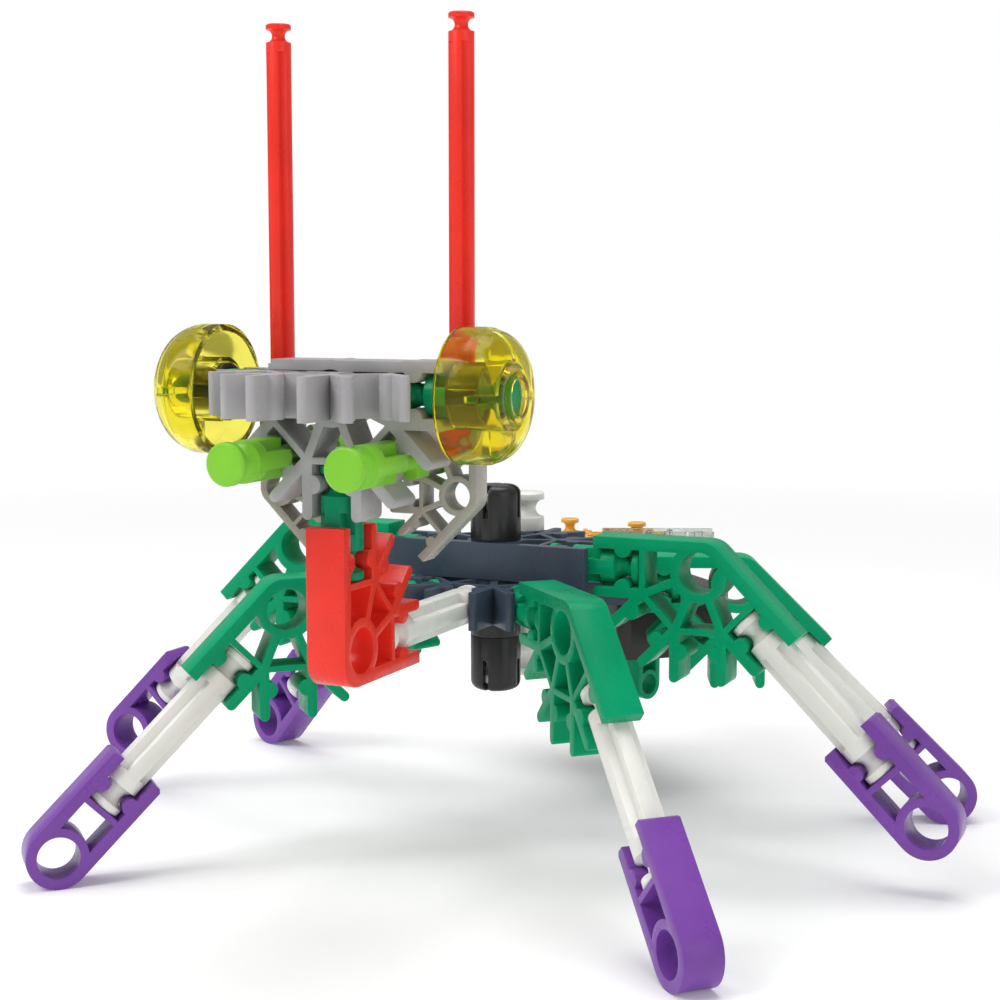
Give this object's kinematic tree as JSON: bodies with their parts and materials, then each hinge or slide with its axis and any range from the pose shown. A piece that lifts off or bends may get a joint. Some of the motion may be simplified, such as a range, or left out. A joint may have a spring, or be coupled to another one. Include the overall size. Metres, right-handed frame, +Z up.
{
  "type": "hexapod spider robot",
  "caption": "Six-legged spider robot toy built from snap-together rods and flat connectors, with a turning head, wheel eyes, upright antennas and a small motor block.",
  "frame": {"origin": "on the floor under the middle of the bounding box", "axes": "+Z up, head faces -Y, robot's width along X"},
  "size_m": [0.162, 0.146, 0.1351],
  "materials": {
    "bright_green": "moulded",
    "dark_green": "moulded",
    "white": "moulded",
    "purple": "moulded",
    "slate": "moulded",
    "black": "moulded",
    "red": "moulded",
    "grey": "moulded",
    "lime": "moulded",
    "warm_grey": "moulded",
    "clear_yellow": "moulded",
    "charcoal": "moulded",
    "clear": "moulded",
    "amber": "moulded"
  },
  "bodies": {
    "body": {"body_plate_top": "slate", "body_plate_front": "slate", "body_plate_rear": "slate", "body_post_front": "white", "body_post_rear": "white", "post_cap_top": "black", "post_spacer": "black", "post_cap_bottom": "black", "neck_link": "white", "neck_bracket": "red", "motor_rod": "bright_green", "motor_housing": "charcoal", "amber_connector": "amber", "small_peg_front": "amber", "small_peg_side": "amber", "clear_connector": "clear", "small_peg_clear": "amber", "hanging_clip": "bright_green", "hanging_pin": "white", "hip_rod_front_right": "bright_green", "hip_rod_front_left": "bright_green", "hip_rod_middle_right": "bright_green", "hip_rod_middle_left": "bright_green", "hip_rod_rear_right": "bright_green", "hip_rod_rear_left": "bright_green"},
    "head": {"neck_post": "dark_green", "head_plate_upright": "grey", "head_plate_level": "grey", "jaw_rod_left": "lime", "cheek_connector_left": "warm_grey", "antenna_left": "red", "eye_axle_left": "dark_green", "eye_bush_left": "black", "jaw_rod_right": "lime", "cheek_connector_right": "warm_grey", "antenna_right": "red", "eye_axle_right": "dark_green", "eye_bush_right": "black"},
    "eye_left": {"eye_wheel_left": "clear_yellow"},
    "eye_right": {"eye_wheel_right": "clear_yellow"},
    "leg_front_right": {"leg_bracket_front_right": "bright_green", "leg_rod_front_right": "white", "foot_front_right": "purple"},
    "leg_front_left": {"leg_bracket_front_left": "bright_green", "leg_rod_front_left": "white", "foot_front_left": "purple"},
    "leg_middle_right": {"leg_bracket_middle_right": "bright_green", "leg_rod_middle_right": "white", "foot_middle_right": "purple"},
    "leg_middle_left": {"leg_bracket_middle_left": "bright_green", "leg_rod_middle_left": "white", "foot_middle_left": "purple"},
    "leg_rear_right": {"leg_bracket_rear_right": "bright_green", "leg_rod_rear_right": "white", "foot_rear_right": "purple"},
    "leg_rear_left": {"leg_bracket_rear_left": "bright_green", "leg_rod_rear_left": "white", "foot_rear_left": "purple"}
  },
  "joints": [
    {"name": "head_turn", "type": "hinge", "parent": "body", "child": "head", "pos_m": [0, -0.0545, 0.06214], "axis": [0, 0, 1], "continuous": true},
    {"name": "eye_spin_left", "type": "hinge", "parent": "head", "child": "eye_left", "pos_m": [-0.0239, -0.0545, 0.08104], "axis": [1, 0, 0], "continuous": true},
    {"name": "eye_spin_right", "type": "hinge", "parent": "head", "child": "eye_right", "pos_m": [0.0239, -0.0545, 0.08104], "axis": [1, 0, 0], "continuous": true},
    {"name": "leg_tilt_front_right", "type": "hinge", "parent": "body", "child": "leg_front_right", "pos_m": [0.01336, -0.01406, 0.04324], "axis": [0.7071, -0.7071, 0], "range_deg": [-20, 20]},
    {"name": "leg_tilt_front_left", "type": "hinge", "parent": "body", "child": "leg_front_left", "pos_m": [-0.01336, -0.01406, 0.04324], "axis": [-0.7071, -0.7071, 0], "range_deg": [-20, 20]},
    {"name": "leg_tilt_middle_right", "type": "hinge", "parent": "body", "child": "leg_middle_right", "pos_m": [0.0189, -0.0007, 0.04964], "axis": [1, 0, 0], "range_deg": [-20, 20]},
    {"name": "leg_tilt_middle_left", "type": "hinge", "parent": "body", "child": "leg_middle_left", "pos_m": [-0.0189, -0.0007, 0.04964], "axis": [-1, 0, 0], "range_deg": [-20, 20]},
    {"name": "leg_tilt_rear_right", "type": "hinge", "parent": "body", "child": "leg_rear_right", "pos_m": [0.01746, 0.01993, 0.04324], "axis": [0.9239, 0.3827, 0], "range_deg": [-20, 20]},
    {"name": "leg_tilt_rear_left", "type": "hinge", "parent": "body", "child": "leg_rear_left", "pos_m": [-0.01746, 0.01993, 0.04324], "axis": [-0.9239, 0.3827, 0], "range_deg": [-20, 20]}
  ]
}
